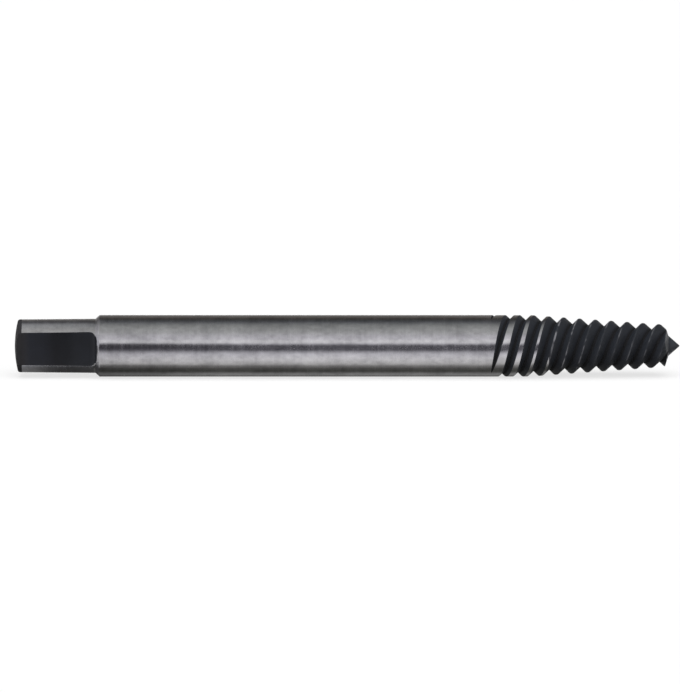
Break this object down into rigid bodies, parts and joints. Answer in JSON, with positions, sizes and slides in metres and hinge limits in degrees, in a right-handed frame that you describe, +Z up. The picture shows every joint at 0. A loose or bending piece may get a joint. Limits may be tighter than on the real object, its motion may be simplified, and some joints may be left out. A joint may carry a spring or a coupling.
{
  "type": "screw extractor",
  "caption": "Spiral screw extractor: round ground shank with two drive flats and a tapered cone with left-hand flutes and a centre point.",
  "frame": {"origin": "centre of the overall box, on the surface that the tool lies on", "axes": "+X along the tool's axis from the drive end to the centre point, +Z up; the two drive flats face -Y and +Y"},
  "size_m": [0.068, 0.0064, 0.0063],
  "materials": {
    "tool_steel": "cylindrically ground shank and crests, dark oxide on the drive flats, flutes, end faces and point"
  },
  "bodies": {
    "root": {"extractor": "tool_steel"}
  },
  "joints": []
}
